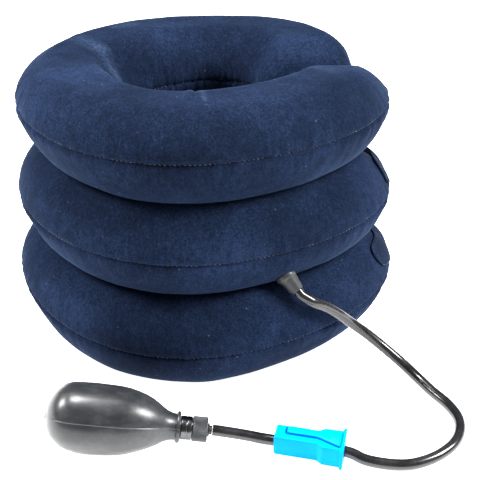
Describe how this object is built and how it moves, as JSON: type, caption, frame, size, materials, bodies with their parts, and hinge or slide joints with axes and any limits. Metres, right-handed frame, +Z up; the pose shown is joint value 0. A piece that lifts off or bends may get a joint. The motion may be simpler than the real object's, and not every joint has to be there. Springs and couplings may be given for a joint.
{
  "type": "inflatable cervical traction collar",
  "caption": "Inflatable neck traction collar of stacked C-shaped velour air tubes round a neck opening, with a hose, a pinch clamp on it and a squeeze-bulb pump with a release valve.",
  "frame": {"origin": "the neck axis, at the level of the surface the inflated collar stands on", "axes": "+Z up along the neck axis, +X towards the opening between the ends of the C, -Y towards the pump"},
  "size_m": [0.342, 0.364, 0.2257],
  "materials": {
    "velour": "navy flocked velour with a soft directional nap",
    "strap": "dark navy hook-and-loop tape",
    "bladder_film": "milky heat-welded air bladder film",
    "port_rubber": "dark grey moulded rubber, satin",
    "fitting_plastic": "pale moulded plastic",
    "hose_rubber": "glossy black hose rubber",
    "bulb_rubber": "dark grey bulb rubber, matt to satin",
    "valve_metal": "plated metal, fine machining marks",
    "dark_plastic": "black moulded plastic",
    "clamp_plastic": "bright cyan-blue injection-moulded plastic"
  },
  "bodies": {
    "base": {"bottom_cover_lower": "velour", "bottom_bladder": "bladder_film", "bottom_loop_patch": "strap", "bottom_closure_strap": "strap", "valve_body": "valve_metal", "intake_valve_body": "fitting_plastic", "release_seal": "dark_plastic", "hose_barb": "dark_plastic", "hose": "hose_rubber", "clamp_body": "clamp_plastic"},
    "lower_interface": {"bottom_cover_upper": "velour", "middle_cover_lower": "velour", "lower_air_passage": "fitting_plastic", "middle_bladder": "bladder_film", "port_connector": "fitting_plastic", "strain_relief": "port_rubber", "middle_loop_patch": "strap", "middle_closure_strap": "strap"},
    "upper_interface": {"middle_cover_upper": "velour", "top_cover_lower": "velour", "upper_air_passage": "fitting_plastic", "top_bladder": "bladder_film", "top_loop_patch": "strap", "top_closure_strap": "strap"},
    "crown": {"top_cover_upper": "velour"},
    "bulb": {"bulb": "bulb_rubber"},
    "release_knob": {"release_knob": "valve_metal"},
    "clamp_lever": {"clamp_lever": "clamp_plastic"},
    "intake_valve_ball": {"intake_valve_ball": "valve_metal"},
    "outlet_valve_ball": {"outlet_valve_ball": "valve_metal"}
  },
  "joints": [
    {"name": "bottom_tier_inflation", "type": "slide", "parent": "base", "child": "lower_interface", "axis": [0, 0, 1], "range_m": [-0.066, 0], "stiffness_N_per_m": 2500, "springref_m": 0.004, "deforming": ["bottom_cover_lower", "bottom_cover_upper", "bottom_bladder", "bottom_loop_patch", "bottom_closure_strap", "hose"]},
    {"name": "middle_tier_inflation", "type": "slide", "parent": "lower_interface", "child": "upper_interface", "axis": [0, 0, 1], "range_m": [-0.041, 0], "stiffness_N_per_m": 2500, "springref_m": 0.003, "deforming": ["middle_cover_lower", "middle_cover_upper", "middle_bladder", "middle_loop_patch", "middle_closure_strap"]},
    {"name": "top_tier_inflation", "type": "slide", "parent": "upper_interface", "child": "crown", "axis": [0, 0, 1], "range_m": [-0.052, 0], "stiffness_N_per_m": 2500, "springref_m": 0.003, "deforming": ["top_cover_lower", "top_cover_upper", "top_bladder", "top_loop_patch", "top_closure_strap"]},
    {"name": "bulb_squeeze", "type": "slide", "parent": "base", "child": "bulb", "axis": [0.1288, 0, 0.9917], "range_m": [-0.015, 0], "stiffness_N_per_m": 600, "springref_m": 0.001, "deforming": ["bulb"]},
    {"name": "release_knob_turn", "type": "hinge", "parent": "base", "child": "release_knob", "pos_m": [0.0003, -0.1955, 0.01537], "axis": [0.9917, 0, -0.1288], "range_deg": [0, 180]},
    {"name": "clamp_lever_hinge", "type": "hinge", "parent": "base", "child": "clamp_lever", "pos_m": [0.06251, -0.20021, 0.01585], "axis": [-0.218, -0.976, 0], "range_deg": [0, 35]},
    {"name": "intake_ball_lift", "type": "slide", "parent": "base", "child": "intake_valve_ball", "axis": [0.9917, 0, -0.1288], "range_m": [0, 0.0009]},
    {"name": "outlet_ball_lift", "type": "slide", "parent": "base", "child": "outlet_valve_ball", "axis": [0.9917, 0, -0.1288], "range_m": [0, 0.0018]}
  ],
  "couplings": [
    {"joint": "middle_tier_inflation", "follows": "bottom_tier_inflation", "ratio": 0.615},
    {"joint": "top_tier_inflation", "follows": "bottom_tier_inflation", "ratio": 0.782}
  ]
}
